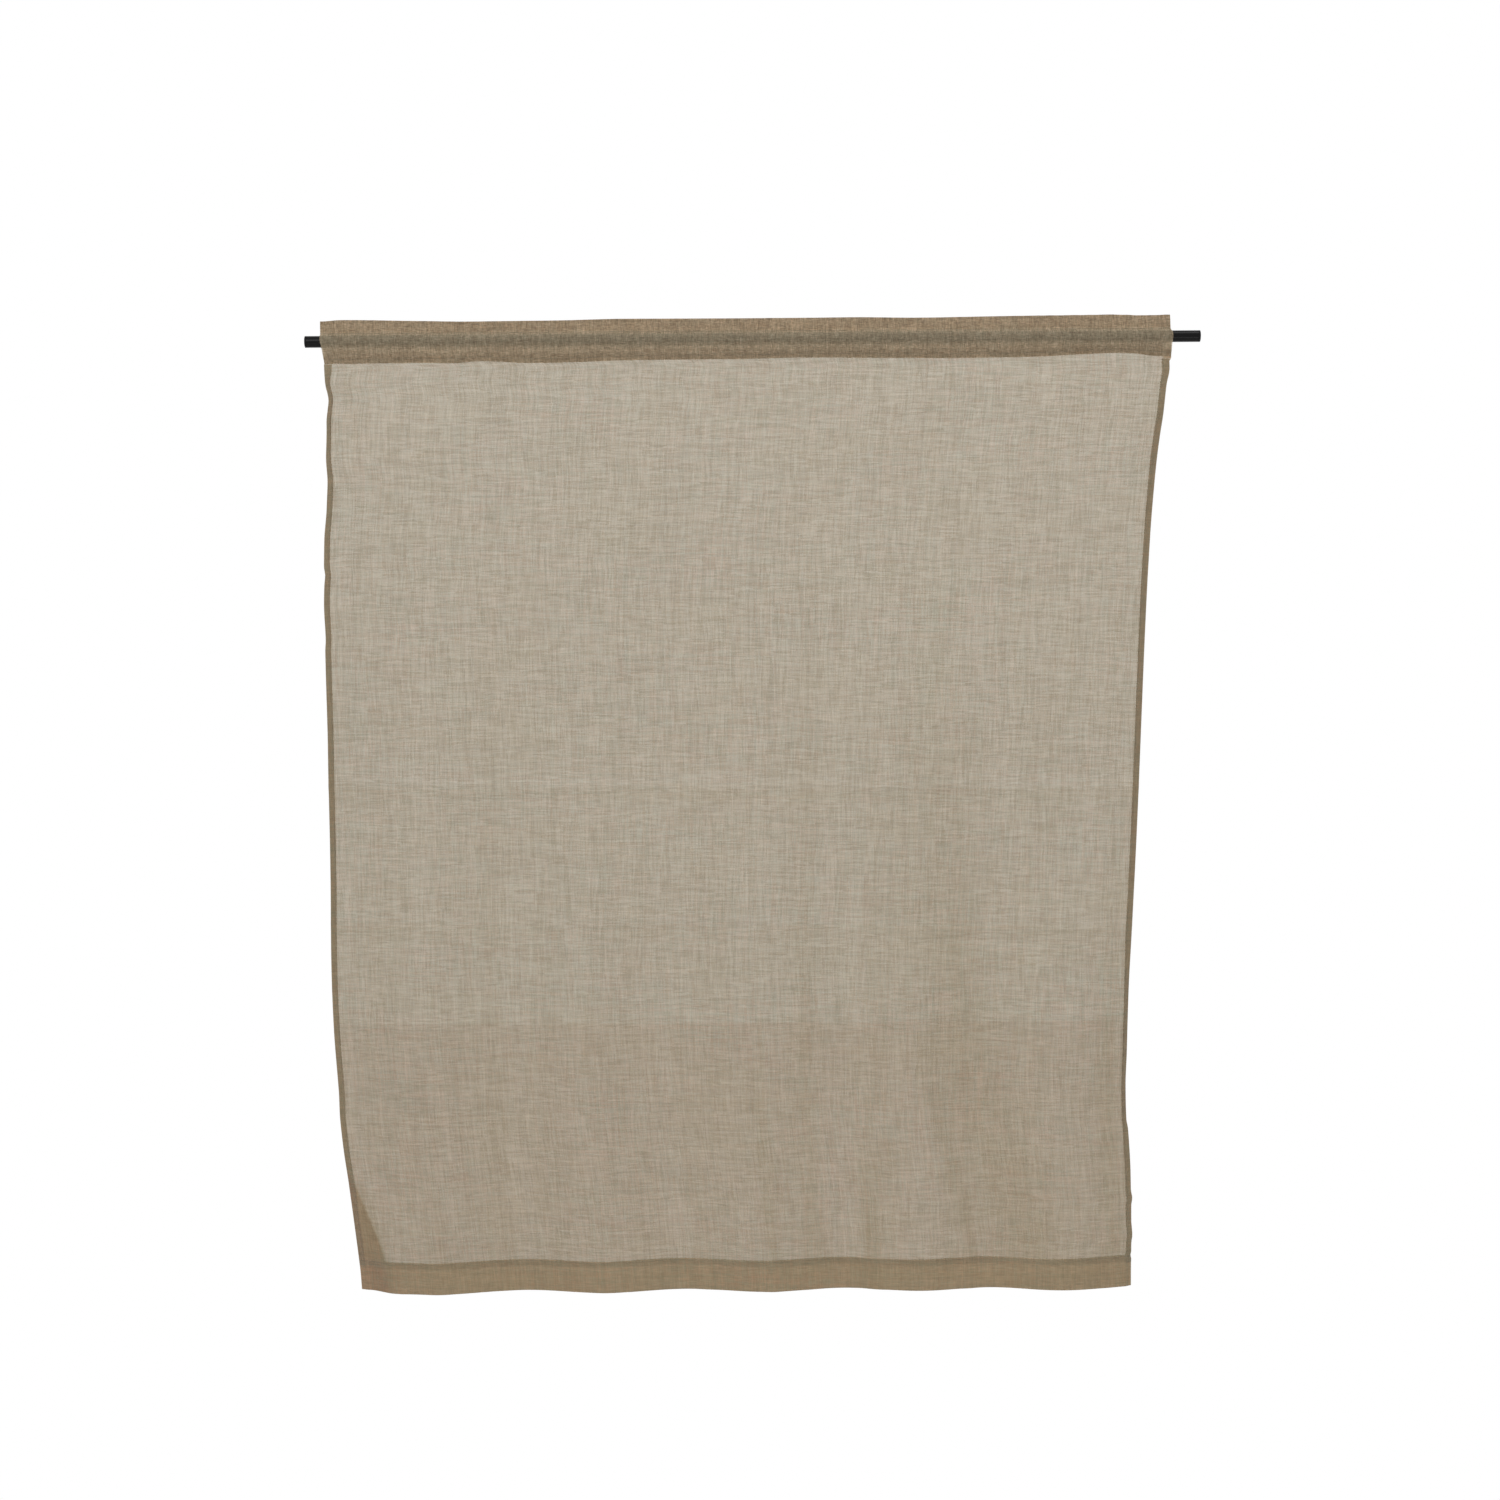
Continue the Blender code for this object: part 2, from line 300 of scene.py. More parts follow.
def make_rod():
    """The tube, with its bore and a small bevel round each end."""
    start, end = tube_low.x, tube_high.x
    bore = ROD_RADIUS - ROD_WALL
    profile = [(start, ROD_RADIUS - LIP), (start + LIP, ROD_RADIUS), (end - LIP, ROD_RADIUS)]
    profile += [(end, ROD_RADIUS - LIP), (end, bore), (start, bore)]
    rod = lathe("rod", profile, ROD_SIDES, True)
    rod.data.materials.append(powder_coat("satin_black_paint", ROD_BLACK, ROD_ROUGHNESS))
    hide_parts("rod_tube")
    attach(rod, "rod")


def make_plug(node, name, side):
    """One end plug: stem, flush head with a rounded rim, and the dimple in its face."""
    low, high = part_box(node)
    face = high.x if side > 0 else low.x
    foot = low.x if side > 0 else high.x
    neck = (tube_high.x if side > 0 else tube_low.x) + side * PLUG_GAP
    stem = ROD_RADIUS - ROD_WALL - STEM_GAP
    profile = [(face - side * DIMPLE_DEPTH, DIMPLE * 0.5)]
    profile += [(face - side * DIMPLE_DEPTH * 0.6, DIMPLE * 0.8), (face, DIMPLE)]
    profile += [(face, ROD_RADIUS - 3 * LIP), (face - side * LIP * 0.4, ROD_RADIUS - LIP)]
    profile += [(face - side * 1.5 * LIP, ROD_RADIUS), (neck, ROD_RADIUS)]
    profile += [(neck, stem), (foot, stem)]
    plug = lathe(name, profile[::-side], PLUG_SIDES, False)
    plug.data.materials.append(powder_coat(name + "_plastic", PLUG_BLACK, PLUG_ROUGHNESS))
    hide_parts(node)
    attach(plug, "rod")


make_rod()
make_plug("end_plug_left", "left_plug", -1)
make_plug("end_plug_right", "right_plug", 1)

# ---- The heading: the top of the cloth, folded to the back round the rod ----
# One width of sheer linen-look polyester. Its top is turned over to the back, with the raw edge
# turned in, and sewn above and below the rod. Its ends pucker, and its lower edge waves a little.
LAYER = 0.0009
HEADER_SEAM_RISE = 0.003
CHANNEL_SLACK = 0.018
CLOTH_ON_ROD = 0.0007
EDGE_ROOM = 0.0003
TURNED_IN = 0.003
SIDE_HEM = 0.012
BOTTOM_HEM = 0.050
HEM_BLUR = 0.0002
SECTION_STEP = 0.004
ACROSS = 300
SINGLE_ROWS = 4
PARTING_DROP = 0.0004
COVER = 0.905
GLOW = 0.42
GLOW_TINT = (1.25, 0.98, 0.72)
CLOTH_ROUGHNESS = 0.85
CLOTH_SPECULAR = 0.2
CLOTH_SHEEN = 0.08
SHEEN_ROUGHNESS = 0.5
SLUB_HEIGHT = 0.0004
SLUB_SPREAD = (0.4, 1.6)
STREAKS = 0.035
# How much lighter the single cloth is painted over its hems: painted light, which also offsets the
# shade of the curled edges.
HEM_PAINTED_LIGHTER = (1.32, 1.29, 1.28)
# How much paler the painted highlight round the rod makes the folded cloth.
PAINTED_LIGHT_TINT = (1.30, 1.30, 1.30)
# Painted highlight in lines round the rod, on the cloth's face above and below it: each line's
# height, spread and strength.
PAINTED_LIGHT_LINES = ((0.0115, 0.0028, 1.0), (-0.0140, 0.0055, 0.70))
BUNCHED = (0.95, 0.89, 0.90)
BUNCHED_FROM = (1.4, 2.2)
SINGLE_DYES = ((0.385, 0.345, 0.235), (0.420, 0.333, 0.232), (0.340, 0.342, 0.248))
# The folded cloth's dyes are a lighter copy of the single cloth's: the lightness is painted light
# on the heading and hems.
FOLDED_DYES_PAINTED_LIGHTER = ((0.462, 0.398, 0.282), (0.482, 0.392, 0.276), (0.442, 0.398, 0.289))
# The waves of the band's lower edge: each one's depth, length and start.
SWAYS = ((0.0007, 0.062, 0.3), (0.0005, 0.17, 1.7))
END_REACH = 0.05
CRUMPLED_FROM = 1.12
CRUMPLED_OVER = 0.2
NOD = 0.0012
CRUMPLE = 0.0014
# Edges as (share of the width, rise), and how far the band's ends lean in as (drop, distance).
BAND_EDGE_LINE = ((0, -0.001), (0.03, -0.001), (0.12, -0.0006), (0.155, -0.001), (0.19, 0.0018),
                  (0.245, -0.0018), (0.30, -0.0010), (0.36, 0.0016), (0.50, 0.0026), (0.57, 0.0040),
                  (0.66, 0.0028), (0.74, 0.0018), (0.83, 0.0026), (0.90, 0.0066), (0.935, 0.0084),
                  (0.96, 0.0070), (0.98, 0.0033), (1, 0.0022))
TOP_EDGE_LINE = ((0, 0.0015), (0.025, 0.0034), (0.12, 0.0011), (0.175, -0.0003), (0.28, 0.0008),
                 (0.36, 0.0025), (0.50, 0.0021), (0.62, 0.0026), (0.70, 0.0013), (0.80, 0.0028),
                 (0.90, 0.0039), (0.935, 0.0041), (0.965, 0.0026), (1, 0.0034))
RETURN_TAPER = ((-0.034, 0), (-0.012, 0.0002), (0, 0.001), (0.014, 0.0035), (0.028, 0.0055),
                (0.0355, 0.0067))
LEADING_TAPER = ((-0.034, -0.0018), (-0.013, -0.0026), (-0.004, -0.0052), (0.004, -0.0052),
                 (0.013, -0.0042), (0.026, -0.0038), (0.0355, -0.0030))

pocket_low, pocket_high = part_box("heading_pocket")
drape_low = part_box("drape_cloth")[0]
WIDTH = pocket_high.x - pocket_low.x
HEADER_TOP = pocket_high.z
BAND_EDGE = pocket_low.z
HEADER_SEAM = ROD_RADIUS + HEADER_SEAM_RISE
CHANNEL_SEAM = -ROD_RADIUS - CHANNEL_SLACK
FLAT_BAND = HEADER_TOP - BAND_EDGE
FLAT_LENGTH = HEADER_TOP - drape_low.z


def ease(value):
    """0 to 1 with a soft start and end."""
    value = np.clip(value, 0, 1)
    return value * value * (3 - 2 * value)


def ripple(place, length, start=0.0):
    """An uneven wave of about this length, from -1 to 1, along a place in metres."""
    turns = 2 * np.pi * np.asarray(place) / length
    waves = np.sin(turns + start) + 0.7 * np.sin(turns * 0.618 + 2.1 * start + 1.3)
    return (waves + 0.5 * np.sin(turns * 1.47 + 3.7 * start + 0.4)) / 2.2


def through(stops, place):
    """A smooth curve through (place, value) stops, which doesn't swing past any of them."""
    at, value = np.array(stops, float).T
    secant = np.diff(value) / np.diff(at)
    before, after = secant[:-1], secant[1:]
    slope = np.zeros(len(at))
    slope[1:-1] = np.where(before * after > 0, 2 * before * after / (before + after + 1e-12), 0)
    place = np.clip(place, at[0], at[-1])
    i = np.clip(np.searchsorted(at, place, side="right") - 1, 0, len(at) - 2)
    span = at[i + 1] - at[i]
    t = (place - at[i]) / span
    start, end = value[i], value[i + 1]
    rise = (1 - t) ** 2 * t * slope[i] * span - t * t * (1 - t) * slope[i + 1] * span
    return start + (end - start) * t * t * (3 - 2 * t) + rise


def band_wave(flat_x):
    """How far the band's lower edge stands above its line."""
    return through(BAND_EDGE_LINE, flat_x / WIDTH)


def band_sway(flat_x):
    """How far the band's lower edge sways towards the window, as puckers that stay shallow."""
    return sum(depth * ripple(flat_x, length, start) for depth, length, start in SWAYS)


def parting(flat_x):
    """How far above the band's mean edge the drape starts: just under the edge where it dips."""
    return np.minimum(band_wave(flat_x), 0) - PARTING_DROP


def side_taper(flat_x, drop):
    """How far the band's ends lean in below the rod, and the leading end swells over it."""
    at_return = through(RETURN_TAPER, drop) * np.exp(-flat_x / END_REACH)
    return at_return - through(LEADING_TAPER, drop) * np.exp((flat_x - WIDTH) / END_REACH)


def arc(y, z, radius, start, end, steps):
    """Points in (y, z) on an arc, with angles in degrees from +Z towards +Y."""
    turn = np.radians(np.linspace(start, end, steps + 1))
    return list(zip(y + radius * np.sin(turn), z + radius * np.cos(turn)))


def heading_path():
    """The band's cross-section, from the front's lower edge over the top to the turned-in end."""
    half = LAYER / 2
    wrap = ROD_RADIUS + CLOTH_ON_ROD
    top = math.degrees(math.acos((wrap - half) / HEADER_SEAM))
    foot = math.degrees(math.acos((wrap - LAYER) / -CHANNEL_SEAM))
    front = arc(0, 0, wrap, foot - 180, -top, 14)
    corners = [(-LAYER, BAND_EDGE), (-LAYER, CHANNEL_SEAM), *front, (-half, HEADER_SEAM)]
    corners += arc(0, HEADER_TOP - EDGE_ROOM - half, half, -90, 90, 6)
    corners += [(half, HEADER_SEAM), *[(-y, z) for y, z in front[::-1]], (LAYER, CHANNEL_SEAM)]
    corners += arc(half, BAND_EDGE + half + EDGE_ROOM, half, 90, 270, 6)
    corners.append((0, CHANNEL_SEAM + TURNED_IN))
    points = [corners[0]]
    for end in corners[1:]:
        start = points[-1]
        steps = max(1, round(math.dist(start, end) / SECTION_STEP))
        for i in range(1, steps + 1):
            points.append(tuple(a + (b - a) * i / steps for a, b in zip(start, end)))
    return np.array(points)


def run_along(section):
    """The distance along a cross-section to each of its points."""
    return np.concatenate([[0], np.cumsum(np.linalg.norm(np.diff(section, axis=0), axis=1))])


def grid_faces(rows, columns):
    """Quads over a grid of rows by columns, stored row by row."""
    corner = (np.arange(rows - 1)[:, None] * columns + np.arange(columns - 1)).ravel()
    return np.stack([corner, corner + columns, corner + columns + 1, corner + 1], axis=1)


def mark(piece, name, values):
    """A number at each point of a piece, for its material to read by name."""
    layer = piece.data.attributes.new(name, "FLOAT", "POINT")
    layer.data.foreach_set("value", np.ravel(values).astype(np.float32))


def cloth_piece(name, points, flat, extra=1.0):
    """A sheet from a grid of points, with its flat place on the bolt, in metres, as its UV map. It
    is marked with how much yarn lies behind each place: more where the cloth slants away, times its
    extra, which on the drape also holds painted shade."""
    rows, columns = points.shape[:2]
    piece = new_piece(name, points.reshape(-1, 3), grid_faces(rows, columns))
    layer = piece.data.uv_layers.new(name="bolt")
    corners = np.empty(len(piece.data.loops), dtype=np.int32)
    piece.data.loops.foreach_get("vertex_index", corners)
    layer.data.foreach_set("uv", flat.reshape(-1, 2)[corners].astype(np.float32).ravel())
    normals = np.empty(3 * len(piece.data.vertices), dtype=np.float32)
    piece.data.vertices.foreach_get("normal", normals)
    slant = 1 / np.clip(np.abs(normals[1::3]), 0.4, 1)
    mark(piece, "yarn_and_painted_shade", slant * np.broadcast_to(extra, (rows, columns)).ravel())
    return piece


def summed(tree, one, other):
    """The sum of two sockets."""
    node = tree.nodes.new("ShaderNodeMath")
    tree.links.new(one, node.inputs[0])
    tree.links.new(other, node.inputs[1])
    return node.outputs[0]


def hemmed(tree, place):
    """1 where the cloth is turned under itself at its sides and its foot, and 0 elsewhere."""
    parts = tree.nodes.new("ShaderNodeSeparateXYZ")
    tree.links.new(place, parts.inputs[0])
    across, down = parts.outputs["X"], parts.outputs["Y"]
    far, foot = WIDTH - SIDE_HEM, FLAT_LENGTH - BOTTOM_HEM
    edges = [ranged(tree, across, SIDE_HEM + HEM_BLUR, SIDE_HEM - HEM_BLUR, 0.0, 1.0),
             ranged(tree, across, far - HEM_BLUR, far + HEM_BLUR, 0.0, 1.0),
             ranged(tree, down, foot - HEM_BLUR, foot + HEM_BLUR, 0.0, 1.0)]
    return summed(tree, summed(tree, edges[0], edges[1]), edges[2])


def both_ways(tree, place, pattern, weft, warp, *detail):
    """A pattern drawn out along the weft yarns, added to the same along the warp yarns."""
    return summed(tree, pattern(tree, place, weft, *detail), pattern(tree, place, warp, *detail))


def linen(name, dyes, contrast, short, single):
    """Sheer plain weave. Slubs in warp and weft thicken and tint the yarns, and light gets through
    between them. Where the cloth slants or is turned back, more yarn lies behind each place, and
    more is marked as painted shade in the drape's folds and creases. Single cloth is painted
    lighter over its hems, and folded cloth paler in a painted highlight round the rod. Short slubs
    and more contrast are for cloth in several layers, where one weave crosses another."""
    ground, pink, grey = dyes
    cloth = bpy.data.materials.new(name)
    cloth.use_nodes = True
    tree = cloth.node_tree
    shader = tree.nodes["Principled BSDF"]
    bolt = tree.nodes.new("ShaderNodeUVMap")
    bolt.uv_map = "bolt"
    place = bolt.outputs["UV"]
    slubs = both_ways(tree, place, slub, (42 * short, 680), (680, 36 * short))
    yarns = both_ways(tree, place, slub, (85 * short, 1200), (1200, 75 * short))
    bars = both_ways(tree, place, noise, (2.3 * short, 260, 1), (260, 2.9 * short, 1))
    streaks = both_ways(tree, place, noise, (1.4 * short, 75, 1), (62, 1.1 * short, 1), 3.0)
    clouds = noise(tree, place, (5, 11, 1))
    dye = both_ways(tree, place, slub, (20 * short, 470), (470, 17 * short))
    tint = mixed(tree, ranged(tree, dye, *SLUB_SPREAD, 0.0, 1.0), grey, pink)
    tint = mixed(tree, ranged(tree, clouds, 0.3, 0.7, 0.25, 0.85), ground, tint)
    patterns = ((slubs, 0.6, 0.10 * contrast), (yarns, 0.6, 0.14 * contrast),
                (bars, 0.3, 0.055 * contrast), (streaks, 0.3, STREAKS))
    for pattern, reach, depth in patterns:
        thin, thick = (1 + depth,) * 3, (1 - depth, 1 - 1.12 * depth, 1 - 1.25 * depth)
        shade = mixed(tree, ranged(tree, pattern, 1 - reach, 1 + reach, 0.0, 1.0), thin, thick)
        tint = mixed(tree, 1.0, tint, shade, "MULTIPLY")
    yarn_and_painted_shade = tree.nodes.new("ShaderNodeAttribute")
    yarn_and_painted_shade.attribute_name = "yarn_and_painted_shade"
    if single:
        # Painted light: the single cloth over the side and foot hems is painted lighter.
        tint = mixed(tree, hemmed(tree, place), tint, HEM_PAINTED_LIGHTER, "MULTIPLY")
        bunched = ranged(tree, yarn_and_painted_shade.outputs["Fac"], *BUNCHED_FROM, 0.0, 1.0)
        tint = mixed(tree, bunched, tint, BUNCHED, "MULTIPLY")
    else:
        # Painted highlight: the band's face is made paler where it curves round the rod.
        painted_light = tree.nodes.new("ShaderNodeAttribute")
        painted_light.attribute_name = "painted_light"
        tint = mixed(tree, painted_light.outputs["Fac"], tint, PAINTED_LIGHT_TINT, "MULTIPLY")
    tree.links.new(tint, shader.inputs["Base Color"])
    shader.inputs["Roughness"].default_value = CLOTH_ROUGHNESS
    shader.inputs["Specular IOR Level"].default_value = CLOTH_SPECULAR
    shader.inputs["Sheen Weight"].default_value = CLOTH_SHEEN
    shader.inputs["Sheen Roughness"].default_value = SHEEN_ROUGHNESS
    weave = bumped(tree, slubs, SLUB_HEIGHT, 0.5)
    tree.links.new(weave, shader.inputs["Normal"])
    glow = tree.nodes.new("ShaderNodeBsdfTranslucent")
    tree.links.new(mixed(tree, 1.0, tint, GLOW_TINT, "MULTIPLY"), glow.inputs["Color"])
    tree.links.new(weave, glow.inputs["Normal"])
    body = tree.nodes.new("ShaderNodeMixShader")
    body.inputs["Fac"].default_value = GLOW
    tree.links.new(shader.outputs[0], body.inputs[1])
    tree.links.new(glow.outputs[0], body.inputs[2])
    gaps = tree.nodes.new("ShaderNodeMath")
    gaps.operation = "POWER"
    thin_gap, thick_gap = 1.35 - 1.35 * COVER, 0.65 - 0.65 * COVER
    tree.links.new(ranged(tree, slubs, *SLUB_SPREAD, thin_gap, thick_gap), gaps.inputs[0])
    # The weave's gaps close where more yarn or painted shade is marked.
    tree.links.new(yarn_and_painted_shade.outputs["Fac"], gaps.inputs[1])
    holes = tree.nodes.new("ShaderNodeBsdfTransparent")
    open_weave = tree.nodes.new("ShaderNodeMixShader")
    tree.links.new(gaps.outputs[0], open_weave.inputs["Fac"])
    tree.links.new(body.outputs[0], open_weave.inputs[1])
    tree.links.new(holes.outputs[0], open_weave.inputs[2])
    tree.links.new(open_weave.outputs[0], tree.nodes["Material Output"].inputs["Surface"])
    return cloth


SINGLE = linen("sheer_linen", SINGLE_DYES, contrast=0.83, short=1.0, single=True)
# The folded cloth is painted lighter than the single cloth, as painted light.
FOLDED = linen("folded_linen", FOLDED_DYES_PAINTED_LIGHTER, contrast=2.1, short=2.5, single=False)


def dress(piece, nodes, slot, body):
    """The cloth's material, chosen by its slot, the nodes it stands for, and the body that it
    rides.
    """
    piece.data.materials.append(SINGLE if slot == "sheer_cloth" else FOLDED)
    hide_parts(*nodes)
    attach(piece, body)
    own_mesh(piece)


def heading_points(flat_x, section):
    """The band's surface at places along the rod, for each point of its cross-section."""
    x = flat_x[None, :]
    y, z = section[:, 0][:, None], section[:, 1][:, None]
    below = ease((-0.5 * ROD_RADIUS - z) / (-BAND_EDGE - 0.6 * ROD_RADIUS))
    above = ease((z - ROD_RADIUS) / (HEADER_TOP - ROD_RADIUS))
    to_leading = ease((x - CRUMPLED_FROM) / CRUMPLED_OVER)
    crumple = (0.25 + to_leading) * ripple(x + 0.6 * z, 0.031, 1.1)
    nod = above * (NOD * ripple(x, 0.21, 2.4) + CRUMPLE * crumple)
    rise = above * through(TOP_EDGE_LINE, x / WIDTH)
    px = pocket_low.x + x + side_taper(x, -z) + 0 * z
    py = y + below * band_sway(x) + nod
    pz = z + below * band_wave(x) + rise
    return np.stack([px, py, pz], axis=2)


def make_heading():
    """The band, and the first few millimetres of single cloth below it, down to the line where the
    drape starts to swing."""
    section = heading_path()
    flat_x = np.linspace(WIDTH, 0, ACROSS)
    run = run_along(section)
    band = heading_points(flat_x, section)
    edge, start = band[0], band[0].copy()
    start[:, 1:] = (-LAYER, BAND_EDGE)
    start[:, 2] += parting(flat_x)
    share = np.linspace(0, 1, SINGLE_ROWS + 1)[:-1, None, None]
    single = start + (edge - start) * share
    on_band = np.broadcast_to(FLAT_BAND - run[:, None], band.shape[:2])
    from_top = np.concatenate([HEADER_TOP - single[:, :, 2], on_band])
    flat = np.stack([np.broadcast_to(flat_x, from_top.shape), from_top], axis=2)
    turned = np.abs(flat_x - WIDTH / 2) > WIDTH / 2 - SIDE_HEM
    layers = np.ones(from_top.shape)
    layers[:SINGLE_ROWS + 1, turned] = 3
    heading = cloth_piece("heading", np.concatenate([single, band]), flat, layers)
    dress(heading, ["heading_pocket"], "folded_cloth", "heading")
    heading.data.materials.append(SINGLE)
    y, z = section[:, 0], section[:, 1]
    # The painted highlight's strength on each row of the band's face, and none on its back.
    painted_light_share = sum(share * np.exp(-(((z - at) / width) ** 2)) for at, width, share in PAINTED_LIGHT_LINES)
    painted_light_share = np.concatenate([np.zeros(SINGLE_ROWS), np.where(y < 0, painted_light_share, 0)])
    mark(heading, "painted_light", np.repeat(painted_light_share, ACROSS))
    which = np.zeros(len(heading.data.polygons), dtype=np.int32)
    which[:SINGLE_ROWS * (ACROSS - 1)] = 1
    heading.data.polygons.foreach_set("material_index", which)


make_heading()

# ---- The drape: the single layer that hangs from the heading ----
# The same cloth, in soft folds that deepen downwards. Its sides draw in as it falls. Near the foot
# the return side turns back in a deep fold, so the cloth there is seen nearly edge-on.
FOLDS = 5
FOLD_DEPTH = 0.018
FOLD_SHIFT = 0.15
FOLD_LEAN = 0.04
DOWN = 250
# Each fold's place across at the top and at the foot, the share of the drop where it starts, its
# width, its depth, and the painted shade along it, marked as more yarn.
SOFT_FOLDS = (
    (0.735, 0.868, 0.16, 0.0290, 0.0068, 0.15),
    (0.700, 0.790, 0.55, 0.0060, 0.0030, 0.09),
    (0.655, 0.668, 0.82, 0.0070, 0.0045, 0.22),
    (0.524, 0.536, 0.62, 0.0055, 0.0026, 0.15),
    (0.590, 0.588, 0.02, 0.0070, 0.0012, 0.08),
    (0.200, 0.190, 0.06, 0.0080, 0.0014, 0.07),
    (0.120, 0.105, 0.62, 0.0090, 0.0040, 0.08),
    (0.968, 0.972, 0.45, 0.0080, 0.0020, 0.12),
    (0.330, 0.320, 0.50, 0.0080, 0.0024, 0.05),
    (0.430, 0.450, 0.55, 0.0070, 0.0022, 0.06),
)
FOLD_PLACES = ((0, 0.0), (0.30, 0.05), (0.55, 0.14), (0.75, 0.42), (1.0, 1.0))
# Each crease of packing: its drop, its depth, and the strength of its painted shade below it and
# painted highlight above it.
CREASES = ((0.698, 0.0012, 0.05), (0.925, 0.0008, 0.03))
CREASE_LEAN = 0.010
CREASE_WIDTH = 0.007
CREASE_SHADE = 0.011
SWAY_FADE = 0.35
PARTING_FADE = 0.05
TURN_TOP = 0.84
TURN_WIDTH = 0.058
TURN_DEPTH = 0.025
TURNED_BACK = ((1.325, 1.465, 1.60), (0.0, 0.050, 0.062))
TURNED_YARN = 1.3
# The side edges by their drop: how far each strays from its line, and how far it curls, in degrees.
RETURN_SCALLOPS = ((0, 0.0008), (0.03, -0.0012), (0.058, 0.0022), (0.075, -0.0002),
                   (0.095, -0.0028), (0.15, -0.0030), (0.20, 0.0014), (0.24, 0.0012),
                   (0.29, -0.0014), (0.335, -0.0016), (0.349, 0.0004), (0.365, -0.0010),
                   (0.40, -0.0020), (0.456, -0.0002), (0.475, -0.0014), (0.50, -0.0014),
                   (0.60, -0.0012), (0.70, -0.0022), (0.85, -0.0022), (1.0, -0.0030),
                   (1.1, -0.0026), (1.2, -0.0012), (1.25, -0.0030), (1.3, -0.0022), (1.36, -0.0001),
                   (1.42, 0.0002), (1.6, -0.0004))
LEADING_SCALLOPS = ((0, 0.0030), (0.02, 0.0045), (0.045, 0.002), (0.09, 0.0015), (0.13, -0.0003),
                    (0.165, -0.0008), (0.23, 0.0003), (0.34, 0.0018), (0.6, 0.0024), (1.0, 0.0020),
                    (1.14, 0.0028), (1.2, 0.0013), (1.262, 0.0010), (1.27, 0.0026), (1.33, 0.0030),
                    (1.375, 0.0022), (1.388, 0.0042), (1.40, 0.0022), (1.425, 0.0020),
                    (1.45, 0.0038), (1.463, 0.0022), (1.6, 0.0024))
RETURN_CURL = ((0, 0), (0.035, 46), (0.14, 45), (0.20, 33), (0.34, 30), (1.6, 28))
LEADING_CURL = ((0, 0), (0.05, 24), (0.95, 26), (1.05, 46), (1.24, 46), (1.29, 30), (1.6, 30))
CURLED = 0.013
HANG = BAND_EDGE - drape_low.z


def cad_outline():
    """The drape's side edges in the frame, as heights and the least and greatest x there."""
    points = np.array([v.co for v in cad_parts["drape_cloth"].data.vertices])
    heights = np.unique(points[:, 2].round(5))
    rows = [points[np.abs(points[:, 2] - z) < 2e-5, 0] for z in heights]
    return heights, np.array([r.min() for r in rows]), np.array([r.max() for r in rows])


HEIGHTS, RETURN_LINE, LEADING_LINE = cad_outline()


def side_line(values, z):
    """A side edge's x at a height, eased so that it has no corners."""
    reach = (-0.04, -0.02, 0.0, 0.02, 0.04)
    return sum(np.interp(z + step, HEIGHTS, values) for step in reach) / len(reach)


def in_fold(across, down, fold):
    """How deep in one soft fold each place lies, from 0 to 1."""
    start, end, top, width = fold[:4]
    grown = ease((down - top) / (1.05 - top)) ** 0.7
    middle = start + (end - start) * through(FOLD_PLACES, down)
    return grown * np.exp(-(((across - middle) / (width * (1 + down))) ** 2))


def hang(across, down):
    """How far the cloth stands towards the window, by its share across and down."""
    deepening = down * down * (3 - 2 * down)
    phase = FOLDS * across + FOLD_SHIFT + FOLD_LEAN * np.sin(2 * np.pi * across + down)
    depth = 0.75 * FOLD_DEPTH * deepening * np.sin(2 * np.pi * phase)
    for fold in SOFT_FOLDS:
        depth = depth - fold[4] * in_fold(across, down, fold)
    for drop, height, _ in CREASES:
        below = down * HANG - drop - CREASE_LEAN * across
        depth = depth - height * np.exp(-((below / CREASE_WIDTH) ** 2))
    return depth


def cloth_at(flat_x, drop, back=0.0):
    """Points on the drape, or this far behind its face, by flat place across and drop below the
    band."""
    flat_x, drop = np.broadcast_arrays(np.asarray(flat_x, float), np.asarray(drop, float))
    step = 0.0005
    here = drape_surface(flat_x, drop)
    if np.all(back == 0):
        return here
    along = drape_surface(flat_x + step, drop) - drape_surface(flat_x - step, drop)
    fall = drape_surface(flat_x, drop + step) - drape_surface(flat_x, drop - step)
    normal = np.cross(along, fall)
    normal /= np.linalg.norm(normal, axis=-1, keepdims=True)
    return here + normal * np.asarray(back)[..., None]


def curled_edge(inward, angle):
    """How much width a curled edge has lost at a distance in from it, and how far back it lies."""
    in_curl = np.minimum(inward, CURLED)
    to_flat = CURLED - in_curl
    return (1 - np.cos(angle)) * in_curl, np.sin(angle) * to_flat * ease(to_flat / 0.004 + 0.2)


